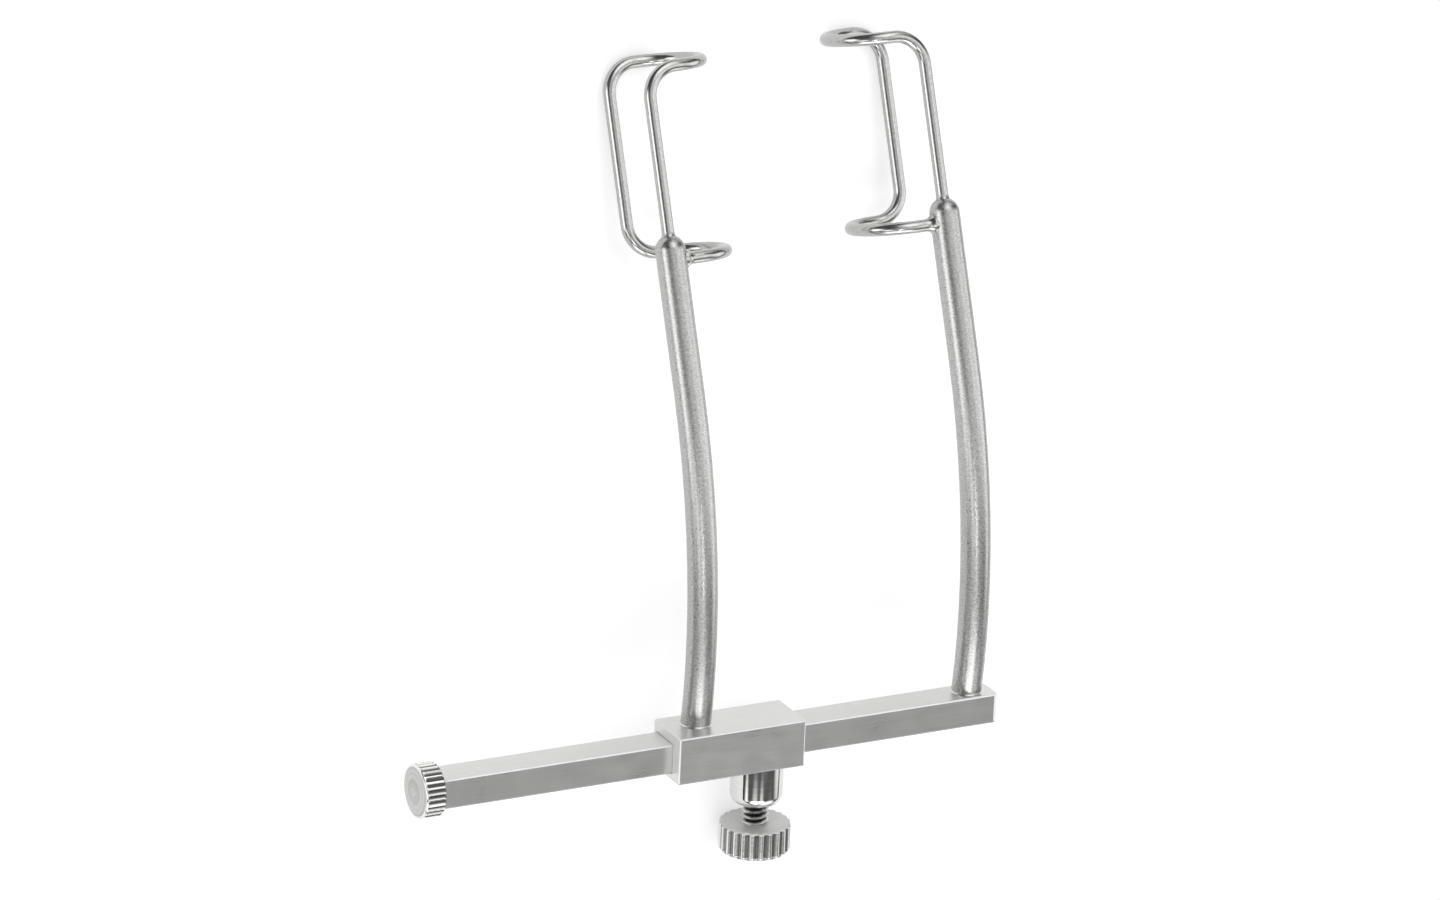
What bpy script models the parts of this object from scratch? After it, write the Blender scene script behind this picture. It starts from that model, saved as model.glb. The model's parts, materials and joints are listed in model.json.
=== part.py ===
"""Adjustable wire eye speculum with a straight slide bar.

Two bowed arms each carry a lid blade bent from one wire. The right arm is fixed in the bar.
The left arm stands on a block that slides along the bar and is clamped from below by a
thumb screw. A fluted stop screwed into the bar's left end keeps the block on.

The instrument is drawn in its own frame: +X along the bar, +Y up the arms, +Z to the front,
with the zero point on the bar's centre line at its left end. A root empty then lays it on
its back, as it comes to rest on the two blades and the rim of the thumb screw.
"""

import math

import bmesh
import bpy
from mathutils import Matrix, Vector

MM = 0.001

# Slide bar
BAR_LENGTH = 48.5 * MM
BAR_HEIGHT = 2.45 * MM
BAR_DEPTH = 2.95 * MM
BAR_EDGE = 0.12 * MM
BAR_FRONT_CORNER_RADIUS = 0.4 * MM
BAR_BACK_CORNER_RADIUS = 1.0 * MM

# Slider block, whose channel fits round the bar
BLOCK_LENGTH = 11.0 * MM
BLOCK_TOP_WALL = 0.85 * MM
BLOCK_BOTTOM_WALL = 0.5 * MM
BLOCK_FRONT_WALL = 1.2 * MM
BLOCK_BACK_WALL = 0.45 * MM
BLOCK_EDGE = 0.1 * MM
BLOCK_FROM_STOP = 19.75 * MM
SLIDE_GAP = 0.03 * MM

# Arms, both alike above their feet
ARM_DIAMETER = 2.4 * MM
ARM_CREST_HEIGHT = 9.0 * MM
ARM_CREST_FORWARD = 0.4 * MM
ARM_BOW_RADIUS = 52.0 * MM
ARM_TIP_LEAN = math.radians(22.0)
ARM_TIP_HEIGHT = 38.95 * MM
ARM_FOOT_FILLET = 0.12 * MM
ARM_DOME_END = math.radians(60.0)
SLIDING_ARM_INSET = 2.7 * MM
FIXED_ARM_INSET = 2.05 * MM

# Spigots that seat the arms
SPIGOT_DIAMETER = 1.4 * MM
BAR_SPIGOT_LENGTH = 1.2 * MM
BLOCK_SOCKET_FLOOR = 0.2 * MM
SEAT_GAP = 0.02 * MM

# Lid blades, each one wire bent into a closed loop
WIRE_DIAMETER = 1.0 * MM
BLADE_WIDTH = 16.0 * MM
BLADE_DEPTH = 7.4 * MM
BLADE_BEND_RADIUS = 2.4 * MM
BLADE_RISE = math.radians(5.5)
BLADE_BELOW_TIP = 0.8 * MM
TIP_SOCKET_FLOOR = 0.2 * MM
SIDE_SOCKET_FLOOR = 0.5 * MM

# Clamp: boss under the block and thumb screw
CLAMP_INSET = 8.25 * MM
BOSS_DIAMETER = 4.2 * MM
BOSS_LENGTH = 3.65 * MM
BOSS_ROUNDING = 0.9 * MM
BOSS_SPIGOT_DIAMETER = 2.8 * MM
THREAD_DIAMETER = 2.1 * MM
THREAD_GAP = 0.03 * MM
SCREW_TIP_CHAMFER = 0.2 * MM
SCREW_THREAD_SHOWN = 1.65 * MM
HEAD_DIAMETER = 5.7 * MM
HEAD_HEIGHT = 2.35 * MM
HEAD_CHAMFER = 0.2 * MM
HEAD_FLUTES = 24

# End stop on the bar's left end
STOP_DIAMETER = 4.35 * MM
STOP_THICKNESS = 1.75 * MM
STOP_CHAMFER = 0.15 * MM
STOP_DOME = 0.15 * MM
STOP_FACE_INSET = 0.35 * MM
STOP_SHANK_DIAMETER = 1.4 * MM
STOP_SHANK_LENGTH = 3.0 * MM
STOP_FLUTES = 28

# Flutes of both fluted heads
FLUTE_DEPTH = 0.17 * MM
FLUTE_WIDTH_SHARE = 0.72

# Fineness of round shapes
ARM_SIDES_RESOLUTION = 8
WIRE_SIDES_RESOLUTION = 4
ROUND_STEPS = 48
BEND_STEP = math.radians(11.25)
BOW_STEP = math.radians(2.0)
HOLE_SIDES = 24
WELD = 0.001 * MM

STEEL_COLOUR = (0.60, 0.60, 0.59, 1.0)


def bar_top():
    return BAR_HEIGHT / 2


def block_top():
    return BAR_HEIGHT / 2 + SLIDE_GAP + BLOCK_TOP_WALL


def block_bottom():
    return -(BAR_HEIGHT / 2 + SLIDE_GAP + BLOCK_BOTTOM_WALL)


def block_front():
    return BAR_DEPTH / 2 + SLIDE_GAP + BLOCK_FRONT_WALL


def block_back():
    return -(BAR_DEPTH / 2 + SLIDE_GAP + BLOCK_BACK_WALL)


def boss_bottom():
    return block_bottom() - SEAT_GAP - BOSS_LENGTH


def head_top():
    return boss_bottom() - SCREW_THREAD_SHOWN


def head_bottom():
    return head_top() - HEAD_HEIGHT


def fixed_arm_x():
    return BAR_LENGTH - FIXED_ARM_INSET


def new_collection(name):
    collection = bpy.data.collections.new(name)
    bpy.context.scene.collection.children.link(collection)
    return collection


def clear_scene():
    for obj in list(bpy.data.objects):
        bpy.data.objects.remove(obj, do_unlink=True)


def steel(name, roughness, colour=STEEL_COLOUR):
    """A plain stainless steel material."""
    material = bpy.data.materials.new(name)
    material.use_nodes = True
    shader = material.node_tree.nodes["Principled BSDF"]
    shader.inputs["Base Color"].default_value = colour
    shader.inputs["Metallic"].default_value = 1.0
    shader.inputs["Roughness"].default_value = roughness
    return material


def place(obj, collection, parent, location=(0.0, 0.0, 0.0), rotation=(0.0, 0.0, 0.0)):
    collection.objects.link(obj)
    obj.parent = parent
    obj.location = location
    obj.rotation_euler = rotation
    return obj


def object_from_bmesh(name, bm, smooth=True):
    mesh = bpy.data.meshes.new(name)
    bmesh.ops.recalc_face_normals(bm, faces=bm.faces)
    bm.to_mesh(mesh)
    bm.free()
    if smooth:
        mesh.shade_smooth()
        mesh.set_sharp_from_angle(angle=math.radians(35.0))
    return bpy.data.objects.new(name, mesh)


def box_bmesh(low, high):
    """A box between two corners, made from a unit cube."""
    low, high = Vector(low), Vector(high)
    bm = bmesh.new()
    bmesh.ops.create_cube(bm, size=1.0)
    bmesh.ops.scale(bm, vec=high - low, verts=bm.verts)
    bmesh.ops.translate(bm, vec=(low + high) / 2, verts=bm.verts)
    return bm


def add_cylinder(bm, start, end, radius, sides=HOLE_SIDES):
    """A closed cylinder between two points."""
    start, end = Vector(start), Vector(end)
    axis = end - start
    turn = Vector((0.0, 0.0, 1.0)).rotation_difference(axis.normalized()).to_matrix().to_4x4()
    matrix = Matrix.Translation((start + end) / 2) @ turn
    bmesh.ops.create_cone(
        bm,
        cap_ends=True,
        segments=sides,
        radius1=radius,
        radius2=radius,
        depth=axis.length,
        matrix=matrix,
    )


def cutter_from_bmesh(name, bm, parent):
    """A hidden tool for combine."""
    cutter = object_from_bmesh(name, bm, smooth=False)
    place(cutter, CUTTERS, parent)
    cutter.hide_render = True
    cutter.display_type = "WIRE"
    return cutter


def combine(obj, tool, operation):
    """Cuts the tool's shape out of the object, or joins it on."""
    modifier = obj.modifiers.new(tool.name, "BOOLEAN")
    modifier.operation = operation
    modifier.object = tool
    modifier.solver = "EXACT"


def break_edges(obj, width):
    """Small rounded edges all over, as polishing leaves them."""
    modifier = obj.modifiers.new("Broken edges", "BEVEL")
    modifier.width = width
    modifier.segments = 2
    modifier.limit_method = "ANGLE"
    modifier.angle_limit = math.radians(40.0)


def round_edges(bm, pick, radius, segments):
    """Rounds those edges of a box whose middle point satisfies pick."""
    edges = [edge for edge in bm.edges if pick((edge.verts[0].co + edge.verts[1].co) / 2)]
    bmesh.ops.bevel(bm, geom=edges, offset=radius, segments=segments, profile=0.5, affect="EDGES")


def turned(name, profile, steps=ROUND_STEPS):
    """A solid of revolution about local Z. The profile runs from its top to its bottom."""
    mesh = bpy.data.meshes.new(name)
    points = [(radius, 0.0, height) for radius, height in profile]
    edges = [(i, i + 1) for i in range(len(points) - 1)]
    mesh.from_pydata(points, edges, [])
    obj = bpy.data.objects.new(name, mesh)
    screw = obj.modifiers.new("Turned", "SCREW")
    screw.axis = "Z"
    screw.angle = math.tau
    screw.steps = steps
    screw.render_steps = steps
    screw.use_merge_vertices = True
    screw.merge_threshold = WELD
    screw.use_smooth_shade = True
    return obj


def fluted(obj, parent, matrix, radius, low, high, count):
    """Cuts straight flutes all round a head that is turned about its local Z."""
    half_width = FLUTE_WIDTH_SHARE * math.pi * radius / count
    groove_radius = (half_width**2 + FLUTE_DEPTH**2) / (2 * FLUTE_DEPTH)
    centre = radius - FLUTE_DEPTH + groove_radius
    overrun = FLUTE_DEPTH
    bm = bmesh.new()
    for index in range(count):
        angle = math.tau * (index + 0.5) / count
        x, y = centre * math.cos(angle), centre * math.sin(angle)
        add_cylinder(bm, (x, y, low - overrun), (x, y, high + overrun), groove_radius, sides=20)
    cutter = cutter_from_bmesh(obj.name + "_flutes", bm, parent)
    cutter.matrix_basis = matrix
    combine(obj, cutter, "DIFFERENCE")


def make_bar(parent):
    half_height, half_depth = BAR_HEIGHT / 2, BAR_DEPTH / 2
    bm = box_bmesh((0.0, -half_height, -half_depth), (BAR_LENGTH, half_height, half_depth))
    near_end = BAR_LENGTH - WELD
    round_edges(bm, lambda mid: mid.x > near_end and mid.z < WELD - half_depth, BAR_BACK_CORNER_RADIUS, 6)
    round_edges(bm, lambda mid: mid.x > near_end and mid.z > half_depth - WELD, BAR_FRONT_CORNER_RADIUS, 4)
    bar = object_from_bmesh("bar", bm)
    place(bar, PARTS, parent)
    break_edges(bar, BAR_EDGE)
    holes = bmesh.new()
    socket_radius = SPIGOT_DIAMETER / 2 + SEAT_GAP
    seat = arm_foot(bar_top()) + Vector((fixed_arm_x(), 0.0, 0.0))
    depth = BAR_SPIGOT_LENGTH + SEAT_GAP
    add_cylinder(holes, seat - UP_BAR * depth, seat + UP_BAR * depth, socket_radius)
    tapped_radius = STOP_SHANK_DIAMETER / 2 + SEAT_GAP
    tapped_end = STOP_SHANK_LENGTH + SEAT_GAP
    add_cylinder(holes, (-BAR_EDGE, 0.0, 0.0), (tapped_end, 0.0, 0.0), tapped_radius)
    combine(bar, cutter_from_bmesh("bar_holes", holes, parent), "DIFFERENCE")
    bar.data.materials.append(steel("bar_steel", 0.34))
    return bar


def make_block(parent):
    """The block in the bar's frame, with its channel, its arm socket and the hole for the boss."""
    left, right = BLOCK_FROM_STOP, BLOCK_FROM_STOP + BLOCK_LENGTH
    bm = box_bmesh((left, block_bottom(), block_back()), (right, block_top(), block_front()))
    bmesh.ops.translate(bm, vec=(-left, 0.0, 0.0), verts=bm.verts)
    block = object_from_bmesh("slider_block", bm)
    place(block, PARTS, parent)
    break_edges(block, BLOCK_EDGE)

    half_height = BAR_HEIGHT / 2 + SLIDE_GAP
    half_depth = BAR_DEPTH / 2 + SLIDE_GAP
    overrun = BLOCK_EDGE * 3
    channel = box_bmesh(
        (-overrun, -half_height, -half_depth),
        (BLOCK_LENGTH + overrun, half_height, half_depth),
    )
    combine(block, cutter_from_bmesh("block_channel", channel, parent), "DIFFERENCE")

    holes = bmesh.new()
    socket_radius = SPIGOT_DIAMETER / 2 + SEAT_GAP
    seat = arm_foot(block_top()) + Vector((SLIDING_ARM_INSET, 0.0, 0.0))
    depth = BLOCK_TOP_WALL - BLOCK_SOCKET_FLOOR
    add_cylinder(holes, seat - UP_BAR * depth, seat + UP_BAR * depth, socket_radius)
    boss_radius = BOSS_SPIGOT_DIAMETER / 2 + SEAT_GAP
    x = CLAMP_INSET
    add_cylinder(holes, (x, 2 * block_bottom(), 0.0), (x, 0.0, 0.0), boss_radius, sides=32)
    combine(block, cutter_from_bmesh("block_holes", holes, parent), "DIFFERENCE")
    block.data.materials.append(steel("block_steel", 0.3))
    return block


def on_bow(angle):
    """The point of an arm's bow where its centre line leans back by angle, and its direction."""
    height = ARM_CREST_HEIGHT + ARM_BOW_RADIUS * math.sin(angle)
    depth = ARM_CREST_FORWARD - ARM_BOW_RADIUS * (1 - math.cos(angle))
    return Vector((0.0, height, depth)), Vector((0.0, math.cos(angle), -math.sin(angle)))


def foot_lean(seat):
    """The bow's lean at the height of the seat, below zero where it still leans forward."""
    return -math.asin((ARM_CREST_HEIGHT - seat) / ARM_BOW_RADIUS)


def arm_foot(seat):
    """The middle of an arm's foot, on a seat at that height."""
    return on_bow(foot_lean(seat))[0]


def arm_tip():
    """The centre of the dome on an arm's tip. Above the bow the rod is straight."""
    bow_top, along = on_bow(ARM_TIP_LEAN)
    return bow_top + along * (ARM_TIP_HEIGHT - bow_top.y) / along.y


def arm_stations(seat):
    """Points along an arm's centre line, each with the rod's radius there. The first one lies
    below the seat, and the rod is trimmed to the seat afterwards."""
    radius = ARM_DIAMETER / 2
    foot, along = on_bow(foot_lean(seat))
    stations = [(foot - along * radius / 2, radius + ARM_FOOT_FILLET)]
    fillet_steps = 3
    for step in range(fillet_steps + 1):
        angle = math.pi / 2 * step / fillet_steps
        height = ARM_FOOT_FILLET * (1 - math.cos(angle))
        stations.append((foot + along * height, radius + ARM_FOOT_FILLET * (1 - math.sin(angle))))
    lean = foot_lean(seat)
    bow_steps = max(2, round((ARM_TIP_LEAN - lean) / BOW_STEP))
    for step in range(1, bow_steps + 1):
        angle = lean + (ARM_TIP_LEAN - lean) * step / bow_steps
        stations.append((on_bow(angle)[0], radius))
    tip, along = arm_tip(), on_bow(ARM_TIP_LEAN)[1]
    dome_steps = 4
    for step in range(dome_steps + 1):
        angle = ARM_DOME_END * step / dome_steps
        stations.append((tip + along * radius * math.sin(angle), radius * math.cos(angle)))
    return stations


def wire_curve(name, stations, diameter, resolution):
    """A round rod through the stations, as a curve with filled ends."""
    curve = bpy.data.curves.new(name, "CURVE")
    curve.dimensions = "3D"
    curve.bevel_depth = diameter / 2
    curve.bevel_resolution = resolution
    curve.use_fill_caps = True
    spline = curve.splines.new("POLY")
    spline.points.add(len(stations) - 1)
    spline.use_smooth = True
    for point, (position, radius) in zip(spline.points, stations):
        point.co = (*position, 1.0)
        point.radius = radius / (diameter / 2)
    return bpy.data.objects.new(name, curve)


def mesh_from_curve(curve_object, name):
    """The curve's surface as a mesh object with welded caps. The curve is removed."""
    graph = bpy.context.evaluated_depsgraph_get()
    mesh = bpy.data.meshes.new_from_object(curve_object.evaluated_get(graph))
    obj = bpy.data.objects.new(name, mesh)
    obj.matrix_world = curve_object.matrix_world.copy()
    bpy.data.objects.remove(curve_object, do_unlink=True)
    bm = bmesh.new()
    bm.from_mesh(mesh)
    bmesh.ops.remove_doubles(bm, verts=bm.verts, dist=WELD)
    bm.to_mesh(mesh)
    bm.free()
    mesh.name = name
    return obj


def trim_foot(mesh, foot):
    """Cuts the rod off flat at the height of its foot."""
    bm = bmesh.new()
    bm.from_mesh(mesh)
    geometry = bm.verts[:] + bm.edges[:] + bm.faces[:]
    trimmed = bmesh.ops.bisect_plane(
        bm,
        geom=geometry,
        plane_co=(0.0, foot, 0.0),
        plane_no=(0.0, 1.0, 0.0),
        clear_inner=True,
    )
    rim = [item for item in trimmed["geom_cut"] if isinstance(item, bmesh.types.BMEdge)]
    bmesh.ops.contextual_create(bm, geom=rim)
    bmesh.ops.recalc_face_normals(bm, faces=bm.faces)
    bm.to_mesh(mesh)
    bm.free()
    mesh.shade_smooth()
    mesh.set_sharp_from_angle(angle=math.radians(50.0))


def make_arm(name, parent, x, seat, spigot_length, blade_side):
    """An arm standing on seat, with sockets at its tip for both ends of its blade's wire."""
    foot = seat + SEAT_GAP
    rod = wire_curve(name + "_path", arm_stations(seat), ARM_DIAMETER, ARM_SIDES_RESOLUTION)
    PARTS.objects.link(rod)
    arm = mesh_from_curve(rod, name)
    trim_foot(arm.data, foot)
    place(arm, PARTS, parent, location=(x, 0.0, 0.0))

    spigot = bmesh.new()
    middle = arm_foot(seat)
    low = middle - UP_BAR * (spigot_length - SEAT_GAP)
    high = middle + UP_BAR * SPIGOT_DIAMETER / 2
    add_cylinder(spigot, low, high, SPIGOT_DIAMETER / 2)
    tool = cutter_from_bmesh(name + "_spigot", spigot, parent)
    tool.location = (x, 0.0, 0.0)
    combine(arm, tool, "UNION")

    origin, side, up, _ = blade_frame(blade_side)
    sockets = bmesh.new()
    socket_radius = WIRE_DIAMETER / 2 + SEAT_GAP
    add_cylinder(sockets, origin + up * TIP_SOCKET_FLOOR, origin + up * ARM_DIAMETER, socket_radius)
    level = origin - up * BLADE_BELOW_TIP
    add_cylinder(sockets, level + side * SIDE_SOCKET_FLOOR, level + side * ARM_DIAMETER, socket_radius)
    tool = cutter_from_bmesh(name + "_sockets", sockets, parent)
    tool.location = (x, 0.0, 0.0)
    combine(arm, tool, "DIFFERENCE")
    arm.data.materials.append(steel(name + "_steel", 0.27))
    return arm


def blade_frame(blade_side):
    """Where a blade is bent: the tip of its arm, and the directions towards the other blade,
    up the front wire, and from the front wire to the back wire."""
    side = Vector((blade_side, 0.0, 0.0))
    up = on_bow(ARM_TIP_LEAN)[1]
    dip = ARM_TIP_LEAN - BLADE_RISE
    back = Vector((0.0, -math.sin(dip), -math.cos(dip)))
    return arm_tip(), side, up, back


def arc(centre, start, end, turn):
    """Points on an arc about centre, from the arm start towards the arm end, turned by turn.
    start and end are vectors of the arc's radius, square to each other."""
    steps = max(2, round(turn / BEND_STEP))
    points = []
    for step in range(steps + 1):
        angle = turn * step / steps
        points.append(centre + start * math.cos(angle) + end * math.sin(angle))
    return points


def blade_path(blade_side):
    """The wire's centre line: up the front wire, over the upper prong, down the back wire
    and over the lower prong into the side of the arm."""
    origin, side, up, back = blade_frame(blade_side)
    bend = BLADE_BEND_RADIUS
    depth = back * BLADE_DEPTH
    top = up * (BLADE_WIDTH - WIRE_DIAMETER - BLADE_BELOW_TIP)
    bottom = -up * BLADE_BELOW_TIP
    prong = side * bend
    loop = BLADE_DEPTH / 2
    quarter, half = math.pi / 2, math.pi

    points = [origin + up * (TIP_SOCKET_FLOOR + SEAT_GAP), origin + up * ARM_DIAMETER]
    points += arc(origin + top - up * bend + prong, -side * bend, up * bend, quarter)
    points += arc(origin + top + prong + depth / 2, -back * loop, side * loop, half)
    points += arc(origin + top - up * bend + prong + depth, up * bend, -side * bend, quarter)
    points += arc(origin + bottom + up * bend + prong + depth, -side * bend, -up * bend, quarter)
    points += arc(origin + bottom + prong + depth / 2, back * loop, side * loop, half)
    points.append(origin + bottom + side * (SIDE_SOCKET_FLOOR + SEAT_GAP))

    path = [points[0]]
    for point in points[1:]:
        if (point - path[-1]).length > WELD:
            path.append(point)
    return path


def make_blade(name, parent, x, blade_side):
    stations = [(point, WIRE_DIAMETER / 2) for point in blade_path(blade_side)]
    blade = wire_curve(name, stations, WIRE_DIAMETER, WIRE_SIDES_RESOLUTION)
    place(blade, PARTS, parent, location=(x, 0.0, 0.0))
    blade.data.materials.append(steel(name + "_steel", 0.2))
    return blade


def quarter_round(centre_radius, centre_height, radius, steps=5):
    """The lower outer corner of a turned profile, from its side to its underside."""
    points = []
    for step in range(steps + 1):
        angle = math.pi / 2 * step / steps
        x = centre_radius + radius * math.cos(angle)
        points.append((x, centre_height - radius * math.sin(angle)))
    return points


def make_boss(parent):
    """The tapped bush, turned about local Z, which points up the screw towards the bar."""
    bore = THREAD_DIAMETER / 2 + THREAD_GAP
    spigot = BOSS_SPIGOT_DIAMETER / 2
    outer = BOSS_DIAMETER / 2
    seat = -SEAT_GAP
    bottom = seat - BOSS_LENGTH
    spigot_top = BLOCK_BOTTOM_WALL - SEAT_GAP
    profile = [(bore, spigot_top), (spigot, spigot_top), (spigot, seat), (outer, seat)]
    profile += quarter_round(outer - BOSS_ROUNDING, bottom + BOSS_ROUNDING, BOSS_ROUNDING)
    profile += [(bore, bottom), (bore, spigot_top)]
    boss = turned("clamp_boss", profile)
    place(boss, PARTS, parent, (CLAMP_INSET, block_bottom(), 0.0), SCREW_TURN)
    boss.data.materials.append(steel("boss_steel", 0.16))
    return boss


def make_thumb_screw(parent):
    """Fluted head and shank in one piece, turned about local Z with the block's underside at zero."""
    shank = THREAD_DIAMETER / 2
    head = HEAD_DIAMETER / 2
    tip = BLOCK_BOTTOM_WALL + SLIDE_GAP - SEAT_GAP
    top = head_top() - block_bottom()
    bottom = top - HEAD_HEIGHT
    profile = [
        (0.0, tip),
        (shank - SCREW_TIP_CHAMFER, tip),
        (shank, tip - SCREW_TIP_CHAMFER),
        (shank, top),
        (head - HEAD_CHAMFER, top),
        (head, top - HEAD_CHAMFER),
        (head, bottom + HEAD_CHAMFER),
        (head - HEAD_CHAMFER, bottom),
        (0.0, bottom),
    ]
    screw = turned("thumb_screw", profile, steps=HEAD_FLUTES * 3)
    place(screw, PARTS, parent, (CLAMP_INSET, block_bottom(), 0.0), SCREW_TURN)
    fluted(screw, parent, screw.matrix_basis.copy(), head, bottom, top, HEAD_FLUTES)
    screw.data.materials.append(steel("thumb_screw_steel", 0.18))
    return screw


def make_end_stop(parent):
    """Fluted stop, turned about local Z, which points along the bar into its end."""
    shank = STOP_SHANK_DIAMETER / 2
    outer = STOP_DIAMETER / 2
    seat = -SEAT_GAP
    face = seat - STOP_THICKNESS
    rim = outer - STOP_FACE_INSET
    profile = [
        (0.0, STOP_SHANK_LENGTH),
        (shank, STOP_SHANK_LENGTH),
        (shank, seat),
        (outer - STOP_CHAMFER, seat),
        (outer, seat - STOP_CHAMFER),
        (outer, face + STOP_CHAMFER),
        (rim, face),
    ]
    dome_steps = 4
    for step in range(1, dome_steps + 1):
        share = 1 - step / dome_steps
        profile.append((rim * share, face - STOP_DOME * (1 - share**2)))
    stop = turned("end_stop", profile, steps=STOP_FLUTES * 3)
    place(stop, PARTS, parent, rotation=(0.0, math.radians(90.0), 0.0))
    fluted(stop, parent, stop.matrix_basis.copy(), outer, face - STOP_DOME, seat, STOP_FLUTES)
    stop.data.materials.append(steel("end_stop_steel", 0.2))
    return stop


def rest_tilt():
    """The turn about X that lays the instrument down on the head's rim and the upper prongs.

    In side view the floor is the lower tangent from the rim's corner to the wire's circle."""
    tip, _, up, back = blade_frame(1.0)
    wire = tip + back * BLADE_DEPTH + up * (BLADE_WIDTH - WIRE_DIAMETER - BLADE_BELOW_TIP)
    rim_height, rim_depth = head_bottom() + HEAD_CHAMFER, -HEAD_DIAMETER / 2
    run, rise = wire.y - rim_height, wire.z - rim_depth
    return math.asin(WIRE_DIAMETER / 2 / math.hypot(run, rise)) - math.atan2(rise, run)


def settle(root):
    """Lays the instrument down and brings the middle of its underside to the zero point."""
    root.rotation_euler = (rest_tilt(), 0.0, 0.0)
    bpy.context.view_layer.update()
    graph = bpy.context.evaluated_depsgraph_get()
    low, high = Vector((1.0, 1.0, 1.0)), Vector((-1.0, -1.0, -1.0))
    for obj in PARTS.objects:
        if obj.type == "EMPTY":
            continue
        evaluated = obj.evaluated_get(graph)
        mesh = evaluated.to_mesh()
        for vertex in mesh.vertices:
            point = evaluated.matrix_world @ vertex.co
            low = Vector(map(min, low, point))
            high = Vector(map(max, high, point))
        evaluated.to_mesh_clear()
    root.location = (-(low.x + high.x) / 2, -(low.y + high.y) / 2, -low.z)


def make_empty(name, parent, location=(0.0, 0.0, 0.0)):
    empty = bpy.data.objects.new(name, None)
    empty.empty_display_size = 2 * MM
    return place(empty, PARTS, parent, location)


def main():
    root = make_empty("speculum_root", None)
    slider = make_empty("slider_axis", root, (BLOCK_FROM_STOP, 0.0, 0.0))
    make_bar(root)
    make_end_stop(root)
    make_arm("fixed_arm", root, fixed_arm_x(), bar_top(), BAR_SPIGOT_LENGTH, -1.0)
    make_blade("fixed_blade", root, fixed_arm_x(), -1.0)
    make_block(slider)
    make_boss(slider)
    block_spigot = BLOCK_TOP_WALL - BLOCK_SOCKET_FLOOR
    make_arm("sliding_arm", slider, SLIDING_ARM_INSET, block_top(), block_spigot, 1.0)
    make_blade("sliding_blade", slider, SLIDING_ARM_INSET, 1.0)
    make_thumb_screw(slider)
    settle(root)


# The direction up from the bar, and the turn of local Z to it for the clamp's turned pieces
UP_BAR = Vector((0.0, 1.0, 0.0))
SCREW_TURN = (math.radians(-90.0), 0.0, 0.0)

clear_scene()
PARTS = new_collection("eye_speculum")
CUTTERS = new_collection("cutters")
main()
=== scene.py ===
# %% [markdown]
# # An adjustable wire eye speculum
# The instrument holds the eyelids apart during surgery. Two bowed arms stand on a rectangular
# slide bar, and each ends in a blade that is bent from one wire. A thumb screw clamps the sliding
# arm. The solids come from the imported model. The bar and the block keep theirs and get a better
# finish. The round pieces are modelled again, because a turned or bent surface shows every facet.

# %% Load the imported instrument
import json
import math

import bmesh
import bpy
from mathutils import Matrix, Vector


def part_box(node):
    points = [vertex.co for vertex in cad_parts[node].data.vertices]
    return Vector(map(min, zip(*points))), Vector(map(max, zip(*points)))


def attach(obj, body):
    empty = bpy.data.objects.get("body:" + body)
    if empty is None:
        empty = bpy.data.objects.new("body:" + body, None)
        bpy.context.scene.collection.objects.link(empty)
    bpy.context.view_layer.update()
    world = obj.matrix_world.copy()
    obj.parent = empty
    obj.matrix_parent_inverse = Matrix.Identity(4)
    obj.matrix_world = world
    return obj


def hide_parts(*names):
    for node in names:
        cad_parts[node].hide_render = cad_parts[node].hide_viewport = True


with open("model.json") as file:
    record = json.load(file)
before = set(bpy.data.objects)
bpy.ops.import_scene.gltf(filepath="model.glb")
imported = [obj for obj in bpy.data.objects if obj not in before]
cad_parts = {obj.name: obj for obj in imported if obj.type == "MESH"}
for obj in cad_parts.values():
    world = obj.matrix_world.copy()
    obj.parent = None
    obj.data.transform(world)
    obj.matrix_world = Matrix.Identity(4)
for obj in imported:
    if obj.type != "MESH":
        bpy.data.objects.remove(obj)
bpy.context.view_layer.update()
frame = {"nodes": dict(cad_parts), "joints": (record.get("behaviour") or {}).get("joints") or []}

print("CAD nodes:", ", ".join(sorted(frame["nodes"])))

# %% [markdown]
# ## The instrument's own axes
# The instrument lies on its back, so its arms are not parallel to a world axis. It is far easier
# to model a straight bar and upright arms and to turn the finished piece. The frame below is
# read from the solids: the middle of the bar's left end is the zero point, and the clamp's axis
# points up the arms.

# %% Read the instrument's axes from the frame
MM = 0.001

clamp_joint = next(joint for joint in frame["joints"] if joint["name"] == "thumb_screw_turn")
bar_low, bar_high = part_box("bar")
BAR_END = Vector((bar_low.x, (bar_low.y + bar_high.y) / 2, (bar_low.z + bar_high.z) / 2))

RIGHT = Vector((1.0, 0.0, 0.0))
UP = Vector(clamp_joint["axis"]).normalized()
FRONT = RIGHT.cross(UP)
INSTRUMENT = Matrix.Translation(BAR_END) @ Matrix((RIGHT, UP, FRONT)).transposed().to_4x4()
print("Lying back by", round(math.degrees(math.asin(UP.z)), 2), "degrees")


# %% Measure where a node stands along the bar
def along_bar(node):
    """The middle of a node, measured from the bar's left end."""
    low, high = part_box(node)
    return (low.x + high.x) / 2 - BAR_END.x


CLAMP_X = along_bar("clamp_boss")
FIXED_ARM_X = along_bar("fixed_arm")
SLIDING_ARM_X = along_bar("sliding_arm")
print("Arms at", round(SLIDING_ARM_X / MM, 2), "and", round(FIXED_ARM_X / MM, 2), "mm")

# %% [markdown]
# ## The camera
# The photograph was taken from the front left and a little above, from so far away that the
# sides of the bar stay almost parallel. A camera without any perspective would come close too. A
# long lens far off keeps the little perspective that is left.

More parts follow.
